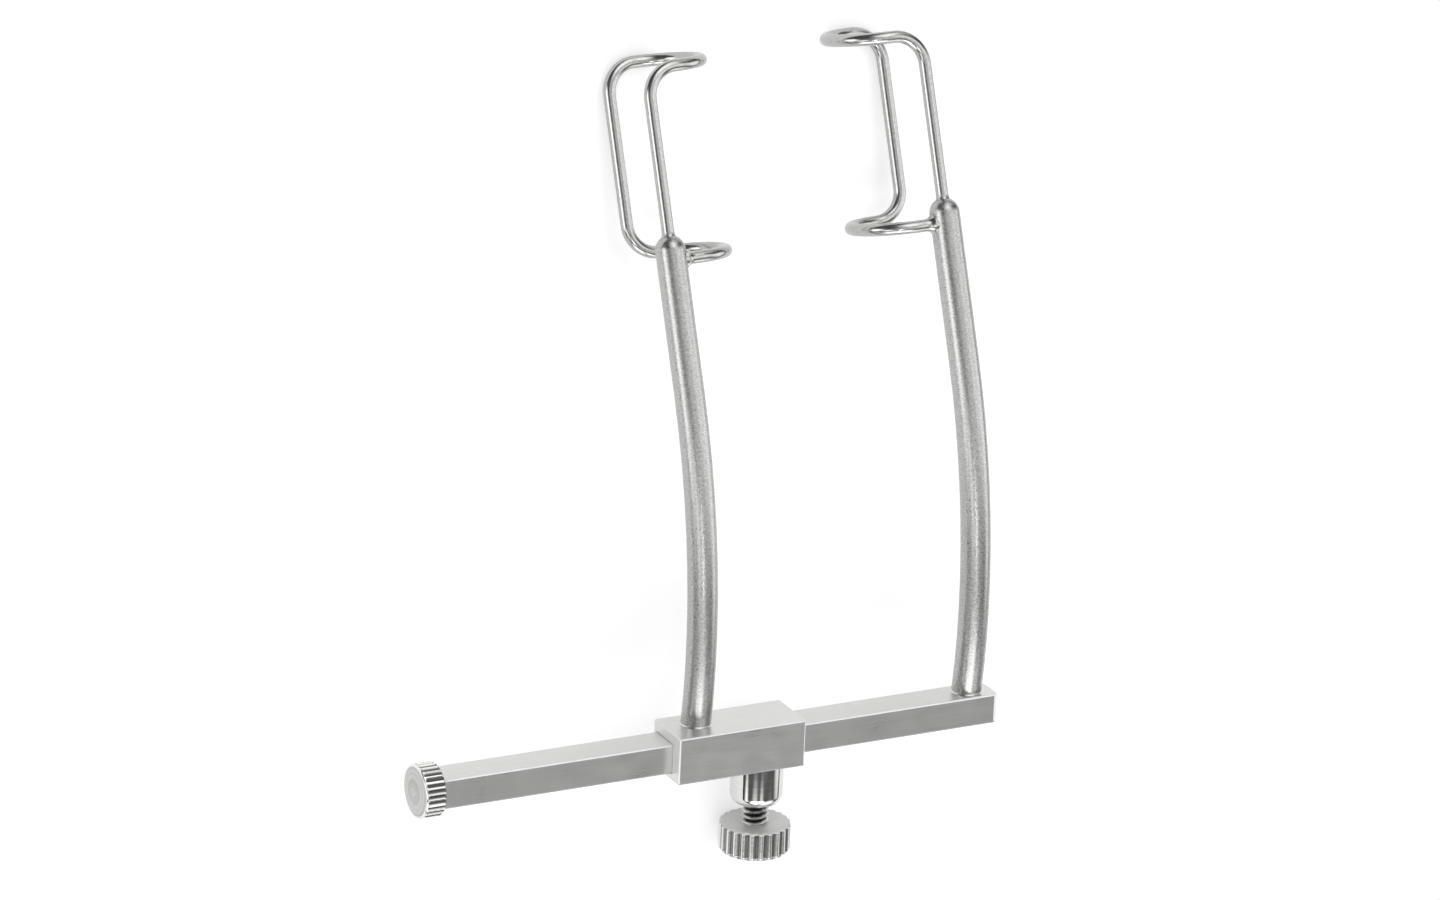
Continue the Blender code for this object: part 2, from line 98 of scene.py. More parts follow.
# %% Set up the camera
CAMERA_TURN = math.radians(27.22)
CAMERA_RISE = math.radians(21.41)
CAMERA_ROLL = math.radians(2.34)
CAMERA_DISTANCE = 936 * MM
CAMERA_LENS = 300.0
AIM = Vector((25.46, 23.30, -3.67)) * MM


def camera_axes():
    """The camera's right, up and backward directions, in the instrument's axes."""
    right = Vector((math.cos(CAMERA_TURN), 0.0, math.sin(CAMERA_TURN)))
    level = math.cos(CAMERA_RISE)
    ahead = Vector((right.z * level, -math.sin(CAMERA_RISE), -right.x * level))
    up = right.cross(ahead)
    roll = Matrix.Rotation(-CAMERA_ROLL, 3, ahead)
    return roll @ right, roll @ up, -ahead


right, up, back = camera_axes()
stand = Matrix((right, up, back)).transposed().to_4x4()
stand.translation = AIM + back * CAMERA_DISTANCE
camera = bpy.data.objects.new("camera", bpy.data.cameras.new("camera"))
camera.data.lens = CAMERA_LENS
camera.data.clip_end = 10.0
camera.matrix_world = INSTRUMENT @ stand
bpy.context.scene.collection.objects.link(camera)
bpy.context.scene.camera = camera
bpy.context.scene.view_settings.view_transform = "Standard"
print("Camera at", [round(c, 3) for c in camera.matrix_world.translation])

# %% [markdown]
# ## Sums in a node tree
# The sky, the sheet and the finishes all work out numbers with Math nodes. Placing and wiring
# each one by itself takes four lines. These helpers do it in one, and read almost like the sum.


# %% Make the helpers for node trees
def plug(tree, socket, value):
    """Links a value that comes out of another node, and sets any other."""
    if isinstance(value, bpy.types.NodeSocket):
        tree.links.new(value, socket)
    else:
        socket.default_value = value


def worked_out(tree, operation, *values, kind="ShaderNodeMath"):
    """The number that a Math or Vector Math node works out from its values."""
    node = tree.nodes.new(kind)
    node.operation = operation
    for socket, value in zip(node.inputs, values):
        plug(tree, socket, value)
    return node.outputs["Value"]


def towards(tree, direction, axis):
    """How far a direction points along an axis, from -1 to 1."""
    return worked_out(tree, "DOT_PRODUCT", direction, axis, kind="ShaderNodeVectorMath")


def mixed(tree, factor, low, high):
    """A number that goes from low to high with factor."""
    ramp = tree.nodes.new("ShaderNodeMapRange")
    ramp.inputs["To Min"].default_value = low
    ramp.inputs["To Max"].default_value = high
    tree.links.new(factor, ramp.inputs["Value"])
    return ramp.outputs["Result"]


def mixed_colour(tree, factor, first, second, blend="MIX"):
    """A colour that goes from the first to the second with factor."""
    mix = tree.nodes.new("ShaderNodeMix")
    mix.data_type = "RGBA"
    mix.blend_type = blend
    for label, value in (("Factor", factor), ("A", first), ("B", second)):
        plug(tree, mix.inputs[label], value)
    return mix.outputs["Result"]


print("Helpers: plug, worked_out, towards, mixed, mixed_colour")

# %% [markdown]
# ## The sheet
# Steel has hardly a colour of its own: it shows the room. So the room is a small white sheet on a
# dark table, under a dim ceiling with soft lights round it. Each rod then gets a light flank from
# the sheet, a dark band from the room behind it and one clear highlight from a lamp. A wider
# sheet would fill the dark band. What the camera sees behind the instrument is plain white all
# over, and a little glow, which only the camera and mirror-like surfaces see, brings the sheet
# up to it.

# %% Lay the sheet
SHEET_RADIUS = 0.075
SHEET_COLOUR = (0.86, 0.86, 0.86, 1.0)
SHEET_GLOW_SEEN = 0.36
SHEET_GLOW_MIRRORED = 0.20
WHITE = (1.0, 1.0, 1.0, 1.0)


def glow_of_sheet(tree):
    """Extra light that only the camera and mirror-like surfaces see on the sheet."""
    path = tree.nodes.new("ShaderNodeLightPath").outputs
    seen = worked_out(tree, "MULTIPLY", path["Is Camera Ray"], SHEET_GLOW_SEEN)
    return worked_out(tree, "MULTIPLY_ADD", path["Is Glossy Ray"], SHEET_GLOW_MIRRORED, seen)


bpy.ops.object.select_all(action="DESELECT")
bpy.ops.mesh.primitive_circle_add(vertices=128, radius=SHEET_RADIUS, fill_type="NGON")
sheet = bpy.context.object
sheet.name = "white_sheet"
paper = bpy.data.materials.new("sheet_paper")
paper.use_nodes = True
shader = paper.node_tree.nodes["Principled BSDF"]
shader.inputs["Base Color"].default_value = SHEET_COLOUR
shader.inputs["Roughness"].default_value = 0.9
shader.inputs["Specular IOR Level"].default_value = 0.0
shader.inputs["Emission Color"].default_value = WHITE
paper.node_tree.links.new(glow_of_sheet(paper.node_tree), shader.inputs["Emission Strength"])
sheet.data.materials.append(paper)
print("Sheet", SHEET_RADIUS * 2, "m across")

# %% [markdown]
# ## The lights
# A polished rod shows each lamp as a bright line, so where a lamp hangs matters more than how
# strong it is. Area lamps could do it, but each piece would see a near lamp in a direction of its
# own. The lights here are soft round patches of the sky itself. Every piece then sees them in
# the same direction, and below the horizon they go dark.

# %% Place the lights in the sky
ROOM_DIM = 0.10
SKY_LIGHTS = {
    "left_low": (175, 13, 24, 2.4),
    "left_high": (200, 40, 17, 1.9),
    "front_left_high": (232, 59, 7, 7.2),
    "front_left_low": (247, 22, 23, 3.0),
    "front_left_edge": (216, 8, 10, 1.6),
    "front": (268, 34, 16, 3.3),
    "front_low": (293, 13, 29, 1.6),
    "right_low": (351, 15, 29, 1.5),
    "right_high": (358, 49, 26, 0.8),
    "overhead": (33, 79, 50, 0.75),
    "back": (80, 42, 30, 1.5),
    "back_low": (60, 8, 30, 0.8),
}


def soft_light(tree, direction, turn, rise, spread, brightness):
    """A round light that fades out at spread degrees; turn goes from +X towards +Y."""
    turn, rise = math.radians(turn), math.radians(rise)
    aim = (math.cos(turn) * math.cos(rise), math.sin(turn) * math.cos(rise), math.sin(rise))
    fade = tree.nodes.new("ShaderNodeMapRange")
    fade.interpolation_type = "SMOOTHSTEP"
    fade.inputs["From Min"].default_value = math.cos(math.radians(spread))
    fade.inputs["From Max"].default_value = 1.0
    fade.inputs["To Max"].default_value = brightness
    tree.links.new(towards(tree, direction, aim), fade.inputs["Value"])
    return fade.outputs["Result"]


print("Lights:", ", ".join(SKY_LIGHTS))

# %% Build the sky
HORIZON = 0.02

sky = bpy.data.worlds.new("studio")
bpy.context.scene.world = sky
sky.use_nodes = True
air = sky.node_tree
direction = air.nodes.new("ShaderNodeTexCoord").outputs["Generated"]
light = ROOM_DIM
for placed in SKY_LIGHTS.values():
    light = worked_out(air, "ADD", soft_light(air, direction, *placed), light)
height = air.nodes.new("ShaderNodeSeparateXYZ")
air.links.new(direction, height.inputs[0])
above = air.nodes.new("ShaderNodeMapRange")
above.inputs["From Min"].default_value = -HORIZON
above.inputs["From Max"].default_value = HORIZON
above.inputs["To Min"].default_value = ROOM_DIM
air.links.new(height.outputs["Z"], above.inputs["Value"])
light = worked_out(air, "MULTIPLY", light, above.outputs["Result"])
seen = air.nodes.new("ShaderNodeLightPath").outputs["Is Camera Ray"]
background = air.nodes["Background"]
air.links.new(worked_out(air, "MAXIMUM", light, seen), background.inputs["Strength"])
background.inputs["Color"].default_value = WHITE
print("Sky with", len(SKY_LIGHTS), "soft lights")

# %% [markdown]
# ## The grain of the brush
# Every steel piece was ground, brushed or polished in one direction, and the marks that are left
# run across the surface as fine streaks. A picture of brushed steel would show its pixels close
# up. A noise texture has detail at every distance, and it becomes streaks where its coordinates
# are squeezed. All finishes share it, so it is built once as a node group.


# %% Build the shared grain group
def new_group(name, inputs, outputs):
    """A shader node group with named sockets."""
    group = bpy.data.node_groups.new(name, "ShaderNodeTree")
    for label, kind, value in inputs:
        socket = group.interface.new_socket(name=label, in_out="INPUT", socket_type=kind)
        if value is not None:
            socket.default_value = value
    for label in outputs:
        group.interface.new_socket(name=label, in_out="OUTPUT", socket_type="NodeSocketFloat")
    print("Group", name, "gives", ", ".join(outputs))
    return group, group.nodes.new("NodeGroupInput"), group.nodes.new("NodeGroupOutput")


grain, grain_in, grain_out = new_group(
    "Brush grain",
    [("Vector", "NodeSocketVector", None), ("Fineness", "NodeSocketFloat", 6000.0)],
    ["Height", "Streak"],
)
noise = grain.nodes.new("ShaderNodeTexNoise")
noise.inputs["Detail"].default_value = 5.0
noise.inputs["Roughness"].default_value = 0.62
contrast = grain.nodes.new("ShaderNodeMapRange")
contrast.inputs["From Min"].default_value = 0.3
contrast.inputs["From Max"].default_value = 0.7
grain.links.new(grain_in.outputs["Vector"], noise.inputs["Vector"])
grain.links.new(grain_in.outputs["Fineness"], noise.inputs["Scale"])
grain.links.new(noise.outputs["Fac"], contrast.inputs["Value"])
grain.links.new(noise.outputs["Fac"], grain_out.inputs["Height"])
grain.links.new(contrast.outputs["Result"], grain_out.inputs["Streak"])

# %% [markdown]
# ## The marks of handling
# Fingers and cloths leave soft clouds on steel, a little duller or glossier than what is round
# them. They could be painted on, piece by piece. A large, slightly twisted noise gives them to
# every piece alike, and it only moves the roughness, so the tone stays even.

# %% Build the shared handling group
handling, handling_in, handling_out = new_group(
    "Handling marks",
    [("Vector", "NodeSocketVector", None), ("Size", "NodeSocketFloat", 0.002)],
    ["Cloud"],
)
cloud = handling.nodes.new("ShaderNodeTexNoise")
cloud.inputs["Detail"].default_value = 3.0
cloud.inputs["Distortion"].default_value = 0.4
per_metre = worked_out(handling, "DIVIDE", 1.0, handling_in.outputs["Size"])
handling.links.new(handling_in.outputs["Vector"], cloud.inputs["Vector"])
handling.links.new(per_metre, cloud.inputs["Scale"])
handling.links.new(cloud.outputs["Fac"], handling_out.inputs["Cloud"])

# %% [markdown]
# ## Bright crests, shaded grooves
# Flutes and threads are rubbed bright on their crests and stay dull in their grooves, and the grooves
# are darkened further as painted shade. The geometry's pointiness could tell one from the other, but it
# changes with the fineness of the mesh. The distance from the turned piece's axis does not, so a crest
# is found by its radius.

# %% Build the shared group for bright crests and painted shade in the grooves
crests, crests_in, crests_out = new_group(
    "Worn crests",
    [
        ("Radius", "NodeSocketFloat", 0.0),
        ("Crest radius", "NodeSocketFloat", 0.002),
        ("Depth", "NodeSocketFloat", 0.0002),
    ],
    ["Worn"],
)
crest_radius = crests_in.outputs["Crest radius"]
crest_wear_and_shade = crests.nodes.new("ShaderNodeMapRange")
crest_wear_and_shade.interpolation_type = "SMOOTHSTEP"
root = worked_out(crests, "SUBTRACT", crest_radius, crests_in.outputs["Depth"])
crests.links.new(crests_in.outputs["Radius"], crest_wear_and_shade.inputs["Value"])
crests.links.new(root, crest_wear_and_shade.inputs["From Min"])
crests.links.new(crest_radius, crest_wear_and_shade.inputs["From Max"])
crests.links.new(crest_wear_and_shade.outputs["Result"], crests_out.inputs["Worn"])

# %% [markdown]
# ## Broken edges, with painted highlight and shade
# The sharp edges of the bar and the block were broken with a stone, which leaves narrow slanting
# flats. The upper ones, which shine white, are made matt and near white as a painted highlight, and the
# lower ones get a dark line of painted shade. They could be faces with a material of their own, but the
# solids stay as they are. Every other face is square to one of the instrument's axes, so a slanting flat
# is found by its normal.

# %% Build the shared group for broken edges with painted highlight and shade
SQUARE = 0.99
DOWNWARDS = -0.1

edges, edges_in, edges_out = new_group(
    "Broken edges", [("Normal", "NodeSocketVector", None)], ["Upper edge highlight", "Lower edge shade"]
)
facing = [towards(edges, edges_in.outputs["Normal"], axis) for axis in (RIGHT, UP, FRONT)]
squareness = 0.0
for value in facing:
    squareness = worked_out(edges, "MAXIMUM", worked_out(edges, "ABSOLUTE", value), squareness)
slanting = worked_out(edges, "LESS_THAN", squareness, SQUARE)
upper = worked_out(edges, "GREATER_THAN", facing[1], DOWNWARDS)
lower = worked_out(edges, "LESS_THAN", facing[1], DOWNWARDS)
for label, side in (("Upper edge highlight", upper), ("Lower edge shade", lower)):
    mask = worked_out(edges, "MULTIPLY", slanting, side)
    edges.links.new(mask, edges_out.inputs[label])
print("A face is a slanting flat where its normal is less than", SQUARE, "square")

# %% [markdown]
# ## Marks that run round a turned piece
# A lathe leaves its marks as fine rings, which straight streaks can't give. A texture could be
# wound round the piece by an unwrap. It is simpler to give the noise other coordinates: the
# distance from the axis and the height count fully, and the way round hardly at all.


# %% Run the marks round an axis
def centred_on(place, along):
    """The turn and shift that bring a turned piece's axis to the zero point's Z axis."""
    turn = along.to_track_quat("Z", "Y").to_matrix().to_4x4()
    return (Matrix.Translation(place) @ turn).inverted()


def off_axis(tree, place):
    """How far a place lies from the Z axis."""
    flat = tree.nodes.new("ShaderNodeVectorMath")
    flat.operation = "MULTIPLY"
    flat.inputs[1].default_value = (1.0, 1.0, 0.0)
    tree.links.new(place, flat.inputs[0])
    return worked_out(tree, "LENGTH", flat.outputs["Vector"], kind="ShaderNodeVectorMath")


def ring_marks(tree, place, stretch):
    """Coordinates in which radius and height count fully and the way round hardly at all."""
    parts = tree.nodes.new("ShaderNodeSeparateXYZ")
    tree.links.new(place, parts.inputs[0])
    rings = tree.nodes.new("ShaderNodeCombineXYZ")
    tree.links.new(off_axis(tree, place), rings.inputs["X"])
    tree.links.new(worked_out(tree, "MULTIPLY", parts.outputs["X"], stretch), rings.inputs["Y"])
    tree.links.new(parts.outputs["Z"], rings.inputs["Z"])
    return rings.outputs[0]


CLAMP_AXIS = centred_on(INSTRUMENT @ Vector((CLAMP_X, 0.0, 0.0)), UP)
BAR_AXIS = centred_on(BAR_END, RIGHT)
print("Turned pieces stand on the clamp's axis and on the bar's")


# %% Dull the bottoms of grooves and paint shade into them
def use_group(tree, group, values):
    """Places a shared group in a material with values of its own."""
    node = tree.nodes.new("ShaderNodeGroup")
    node.node_tree = group
    for label, value in values.items():
        plug(tree, node.inputs[label], value)
    return node.outputs


def dulled_and_shaded(tree, place, colour, grooved):
    """The colour of a fluted or threaded surface: bright on the crests, dull and darkened by painted
    shade in the grooves.
    """
    crest, depth, groove_shade_share = grooved
    values = {"Radius": off_axis(tree, place), "Crest radius": crest, "Depth": depth}
    wear_and_shade = use_group(tree, crests, values)
    # In the grooves the tone falls to a small share of itself: painted shade.
    groove_shade = mixed(tree, wear_and_shade["Worn"], groove_shade_share, 1.0)
    return mixed_colour(tree, 1.0, colour, groove_shade, blend="MULTIPLY")


print("Grooves go dull by the group", crests.name)

# %% Break the edges of a block, with painted highlight and shade
# Near white on the upper slanting flats is a painted highlight, dark grey on the lower ones painted
# shade.
STONED_PAINTED_HIGHLIGHT = (0.97, 0.97, 0.97, 1.0)
PAINTED_EDGE_SHADE = (0.42, 0.42, 0.42, 1.0)
STONED_METAL = 0.1


def stoned_with_painted_light(tree, colour, shader):
    """Upper edges broken with a stone are matt and light as a painted highlight, the lower ones keep a
    dark line of painted shade.
    """
    normal = tree.nodes.new("ShaderNodeTexCoord").outputs["Normal"]
    mask = use_group(tree, edges, {"Normal": normal})
    metal = mixed(tree, mask["Upper edge highlight"], 1.0, STONED_METAL)
    tree.links.new(metal, shader.inputs["Metallic"])
    light = mixed_colour(tree, mask["Upper edge highlight"], colour, STONED_PAINTED_HIGHLIGHT)
    return mixed_colour(tree, mask["Lower edge shade"], light, PAINTED_EDGE_SHADE)


print("Edges go light and dark by the group", edges.name)

# %% [markdown]
# ## Steel, from one recipe
# All the finishes are the same steel, worked in other ways. They could be twelve materials built
# by hand, which soon drift apart. One function builds them all: the streaks run its tone and its
# roughness between two values each, the clouds of handling shift the roughness, and the streaks
# stand out a little as a relief.

# %% Mix a steel
HANDLED = 0.04
DARK_BLUE = 0.985
LIGHT_BLUE = 0.99


def grey(tone, blue):
    """A grey with a little less blue, as steel has."""
    return (tone, tone, tone * blue, 1.0)


def steel(name, tone, gloss, stretch, fineness, bump, axis=None, grooved=None, edged=False, metal=1.0):
    """Steel whose tone and roughness run between two values each, along stretched streaks.

    stretch is small along the marks and 1 across them, fineness is the scale of the streaks and
    bump their height. For a turned piece axis gives a matrix that brings the piece's axis to the
    middle, so that the marks run round it. grooved gives the radius of the crests, the depth of
    the grooves and the share of its tone that dull metal at the bottom of a groove is left with,
    darkened there as painted shade. edged is True where the edges of a block, broken with a stone,
    show a painted highlight above and painted shade below. metal is 1 for bare steel, and less where
    fine turning has made it matt."""
    material = bpy.data.materials.new(name)
    material.use_nodes = True
    tree = material.node_tree
    shader = tree.nodes["Principled BSDF"]
    shader.inputs["Metallic"].default_value = metal
    place = tree.nodes.new("ShaderNodeTexCoord").outputs["Object"]
    mapping = tree.nodes.new("ShaderNodeMapping")
    tree.links.new(place, mapping.inputs["Vector"])
    marks = mapping.outputs["Vector"]
    if axis is None:
        mapping.inputs["Scale"].default_value = stretch
    else:
        mapping.inputs["Location"].default_value = axis.translation
        mapping.inputs["Rotation"].default_value = axis.to_euler()
        marks = ring_marks(tree, marks, stretch[0])
    brush = use_group(tree, grain, {"Vector": marks, "Fineness": fineness})
    clouds = use_group(tree, handling, {"Vector": place})

    dark, light = grey(tone[0], DARK_BLUE), grey(tone[1], LIGHT_BLUE)
    colour = mixed_colour(tree, brush["Streak"], dark, light)
    if grooved:
        colour = dulled_and_shaded(tree, mapping.outputs["Vector"], colour, grooved)
    if edged:
        colour = stoned_with_painted_light(tree, colour, shader)
    tree.links.new(colour, shader.inputs["Base Color"])

    brushed = mixed(tree, brush["Streak"], gloss[0], gloss[1])
    handled = mixed(tree, clouds["Cloud"], -HANDLED, HANDLED)
    tree.links.new(worked_out(tree, "ADD", brushed, handled), shader.inputs["Roughness"])

    relief = tree.nodes.new("ShaderNodeBump")
    relief.inputs["Strength"].default_value = 1.0
    relief.inputs["Distance"].default_value = bump
    tree.links.new(brush["Height"], relief.inputs["Height"])
    tree.links.new(relief.outputs["Normal"], shader.inputs["Normal"])
    return material


print("Tones lose", round(1 - DARK_BLUE, 3), "to", round(1 - LIGHT_BLUE, 3), "of their blue")

# %% [markdown]
# ## The finishes
# The bar and the block come from a belt, with long straight marks, and their broken edges carry a
# painted highlight above and painted shade below. The arms are brushed satin, with a coarse grain, and
# the wires are polished, with hardly any. The boss is the glossiest of all. The fluted pieces are bright
# on their crests and dull in their flutes, which painted shade darkens further, and the screw's head has
# a finely turned top that is more matt than the rest. The sizes of the grooves are set here, because the
# finishes need them first.

# %% Set the sizes of flutes and thread
HEAD_RADIUS = 2.85 * MM
STOP_RADIUS = 2.175 * MM
THREAD_RADIUS = 1.05 * MM
FLUTE_DEPTH = 0.17 * MM
FLUTE_SHARE = 0.72
print("Flutes", round(FLUTE_DEPTH / MM, 2), "mm deep")

# %% Prepare the finishes of flat pieces and rods
LONG_MARKS = (0.03, 1, 1)

satin_bar = steel("satin_bar", (0.73, 0.78), (0.28, 0.31), LONG_MARKS, 9000, 0.0012 * MM, edged=True)
satin_block = steel("satin_block", (0.78, 0.83), (0.28, 0.31), LONG_MARKS, 9000, 0.0012 * MM, edged=True)
satin_arm = steel("satin_arm", (0.34, 0.67), (0.26, 0.34), (0.8, 1, 0.8), 8000, 0.009 * MM)
satin_wire = steel("satin_wire", (0.45, 0.57), (0.16, 0.22), (0.6, 0.6, 0.6), 7000, 0.0014 * MM)
bright_solder = steel("bright_solder", (0.72, 0.80), (0.18, 0.26), (1, 1, 1), 3000, 0.004 * MM)
print("Finishes so far:", grain.users)


# %% Prepare the finishes of turned pieces
def turned(name, tone, gloss, axis, fineness=8000, bump=0.001 * MM, grooved=None, metal=1.0):
    """Steel with the marks of a lathe round an axis."""
    return steel(name, tone, gloss, LONG_MARKS, fineness, bump, axis, grooved, metal=metal)


# The last number of each is the share of its tone left at a groove's bottom, darker there as painted
# shade.
head_grooves = (HEAD_RADIUS, FLUTE_DEPTH, 0.32)
stop_grooves = (STOP_RADIUS, 0.15 * MM, 0.12)
thread_grooves = (THREAD_RADIUS, 0.22 * MM, 0.08)

turned_boss = turned("turned_boss", (0.74, 0.82), (0.07, 0.11), CLAMP_AXIS, fineness=6000)
turned_head = turned("turned_head", (0.64, 0.72), (0.36, 0.44), CLAMP_AXIS, bump=0.002 * MM, metal=0.6)
turned_face = turned("turned_face", (0.40, 0.68), (0.20, 0.30), BAR_AXIS, 2600, 0.006 * MM)
turned_rim = turned("turned_rim", (0.84, 0.92), (0.14, 0.20), BAR_AXIS)
fluted_head = turned("fluted_head", (0.84, 0.94), (0.17, 0.24), CLAMP_AXIS, grooved=head_grooves)
fluted_stop = turned("fluted_stop", (0.82, 0.92), (0.20, 0.28), BAR_AXIS, grooved=stop_grooves)
cut_thread = turned("cut_thread", (0.74, 0.82), (0.14, 0.20), CLAMP_AXIS, grooved=thread_grooves)
print("Finishes in all:", grain.users)

# %% [markdown]
# ## The bar and the block
# Both are plain milled pieces with broken edges. They could be modelled again too, but flat faces
# have no facets to hide, and their solids are already right. They only take a satin finish whose
# marks run along the bar, as from a belt, with painted highlight and shade on its broken edges.

# %% Finish the bar and the block
frame["nodes"]["bar"].material_slots[0].material = satin_bar
frame["nodes"]["slider_block"].material_slots[0].material = satin_block
print("The bar takes", satin_bar.name, "and the block", satin_block.name)

# %% [markdown]
# ## Rods, from a circle
# An arm and a wire are both a circle that travels. A curve with a round bevel would travel too,
# but it can't widen into solder as freely. So extrude moves the circle straight on, spin carries
# it round a bend, and resize widens it. Each helper does one of these to the selected end face,
# which stays selected for the next.

# %% Make the helpers for rods
ARM_SIDES = 64
WIRE_SIDES = 32
BEND_STEP = math.radians(3.0)


def start_round(name, place, along, radius, sides):
    """A filled circle square to along, opened in edit mode with its face selected."""
    bpy.ops.object.select_all(action="DESELECT")
    turn = along.to_track_quat("Z", "Y").to_euler()
    bpy.ops.mesh.primitive_circle_add(
        vertices=sides, radius=radius, fill_type="NGON", location=place, rotation=turn
    )
    bpy.ops.object.transform_apply(location=True, rotation=True, scale=True)
    piece = bpy.context.object
    piece.name = piece.data.name = name
    bpy.ops.object.mode_set(mode="EDIT")
    bpy.ops.mesh.select_mode(type="FACE")
    bpy.ops.mesh.select_all(action="SELECT")
    return piece


def run(step):
    """Carries the end face straight on."""
    bpy.ops.mesh.extrude_region_move(TRANSFORM_OT_translate={"value": step})


def bend(centre, axis, angle):
    """Carries the end face round a bend, right-handed about the axis."""
    steps = math.ceil(angle / BEND_STEP)
    bpy.ops.mesh.spin(steps=steps, angle=-angle, center=centre, axis=axis, use_auto_merge=False)


def widen(centre, factor):
    """Scales the end face about its centre."""
    bpy.ops.transform.resize(value=(factor, factor, factor), center_override=centre)


def profile(start, along, rings):
    """Carries the end face along a straight axis through rings of (distance, radius)."""
    distance, radius = rings[0]
    for next_distance, next_radius in rings[1:]:
        run(along * (next_distance - distance))
        widen(start + along * next_distance, next_radius / radius)
        distance, radius = next_distance, next_radius


print("Arms have", ARM_SIDES, "sides and wires", WIRE_SIDES)


# %% Give some faces a finish of their own
def finish_faces(piece, finish, wanted):
    """Assigns another finish to the faces for which wanted(middle, normal) is true."""
    piece.data.materials.append(finish)
    bpy.ops.mesh.select_mode(type="FACE")
    bpy.ops.mesh.select_all(action="DESELECT")
    web = bmesh.from_edit_mesh(piece.data)
    for face in web.faces:
        face.select_set(wanted(face.calc_center_median(), face.normal))
    bmesh.update_edit_mesh(piece.data)
    piece.active_material_index = len(piece.data.materials) - 1
    bpy.ops.object.material_slot_assign()
    print(piece.name, "takes", finish.name, "on", sum(face.select for face in web.faces), "faces")


# %% Close a finished piece
WELD = 0.0005 * MM


def finish_piece(piece, body, node, material, smooth=40.0, stand=INSTRUMENT, others=()):
    """Leaves edit mode, lays the piece down with the instrument and gives it its body.

    others holds pairs of a finish and the test for the faces that take it."""
    piece.data.materials.append(material)
    bpy.ops.mesh.select_all(action="SELECT")
    bpy.ops.mesh.remove_doubles(threshold=WELD)
    bpy.ops.mesh.normals_make_consistent(inside=False)
    bpy.ops.mesh.select_mode(type="EDGE")
    bpy.ops.mesh.select_all(action="DESELECT")
    bpy.ops.mesh.select_non_manifold()
    open_edges = sum(edge.select for edge in bmesh.from_edit_mesh(piece.data).edges)
    for finish, wanted in others:
        finish_faces(piece, finish, wanted)
    bpy.ops.object.mode_set(mode="OBJECT")
    piece.matrix_world = stand
    bpy.ops.object.transform_apply(location=True, rotation=True, scale=True)
    bpy.ops.object.shade_smooth_by_angle(angle=math.radians(smooth))
    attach(piece, body)
    if node:
        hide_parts(node)
    print(piece.name, len(piece.data.polygons), "faces,", open_edges, "open edges")


# %% [markdown]
# ## The arms
# Each arm is one rod, bowed forwards on a large radius and straight towards its tip. The tip is
# rounded, and solder runs from it up the wire. A cylinder could be bent by a modifier, but then
# its tip would bend too. Here the bow is one spin, and the tip is a row of narrower and narrower
# rings, first round a dome and then up a hollow neck.

# %% Set the arms' sizes
ARM_RADIUS = 1.198 * MM
BOW_RADIUS = 52.0 * MM
BOW_CREST = Vector((0.0, 9.0, 0.4)) * MM
TIP_LEAN = math.radians(22.0)
TIP_HEIGHT = 38.95 * MM
WIRE_RADIUS = 0.499 * MM
SUNK = 0.3 * MM

# Heights of the bar's and the block's top faces above the bar's middle
BAR_SEAT = 1.225 * MM
BLOCK_SEAT = 2.105 * MM
print("Arms", round(2 * ARM_RADIUS / MM, 2), "mm thick")


# %% Follow the arm's centre line
def bow_point(lean):
    """The centre of the rod where it leans back by that angle."""
    return BOW_CREST + Vector((0.0, math.sin(lean), math.cos(lean) - 1)) * BOW_RADIUS


def bow_direction(lean):
    """The direction of the rod there."""
    return Vector((0.0, math.cos(lean), -math.sin(lean)))


def lean_at(height):
    """The rod's lean at a height on the lower part of its bow."""
    return math.asin((height - BOW_CREST.y) / BOW_RADIUS)


TIP_UP = bow_direction(TIP_LEAN)
BOW_TOP = bow_point(TIP_LEAN)
TIP = BOW_TOP + TIP_UP * (TIP_HEIGHT - BOW_TOP.y) / TIP_UP.y
print("Arm tip at", [round(c / MM, 2) for c in TIP])

# %% Shape the tip's dome and the neck of solder
DOME_END = math.radians(62.0)
DOME_STEPS = 14
NECK_HEIGHT = 0.36 * MM
NECK_STEPS = 8
NECK_OVER_WIRE = 1.01


def dome_rings():
    """(distance, radius) pairs from the last full ring to the solder round the wire."""
    rings = [(0.0, ARM_RADIUS)]
    for step in range(1, DOME_STEPS + 1):
        angle = DOME_END * step / DOME_STEPS
        rings.append((ARM_RADIUS * math.sin(angle), ARM_RADIUS * math.cos(angle)))
    foot, wide = rings[-1]
    for step in range(1, NECK_STEPS + 1):
        share = step / NECK_STEPS
        narrow = (wide - WIRE_RADIUS) * (1 - share) ** 2
        rings.append((foot + NECK_HEIGHT * share, WIRE_RADIUS * NECK_OVER_WIRE + narrow))
    return rings


print("Dome and neck", round(dome_rings()[-1][0] / MM, 2), "mm high")


# %% Model the arms
def make_arm(name, body, x, seat):
    """A bowed rod from just inside its seat to the neck of solder at its tip."""
    aside = RIGHT * x
    lean = lean_at(seat - SUNK)
    arm = start_round(name + "_rod", aside + bow_point(lean), bow_direction(lean), ARM_RADIUS, ARM_SIDES)
    hub = aside + BOW_CREST - Vector((0.0, 0.0, BOW_RADIUS))
    bend(hub, -RIGHT, TIP_LEAN - lean)
    run(TIP - BOW_TOP)
    profile(aside + TIP, TIP_UP, dome_rings())
    finish_piece(arm, body, name, satin_arm)


make_arm("fixed_arm", "frame", FIXED_ARM_X, BAR_SEAT)
make_arm("sliding_arm", "slider", SLIDING_ARM_X, BLOCK_SEAT)

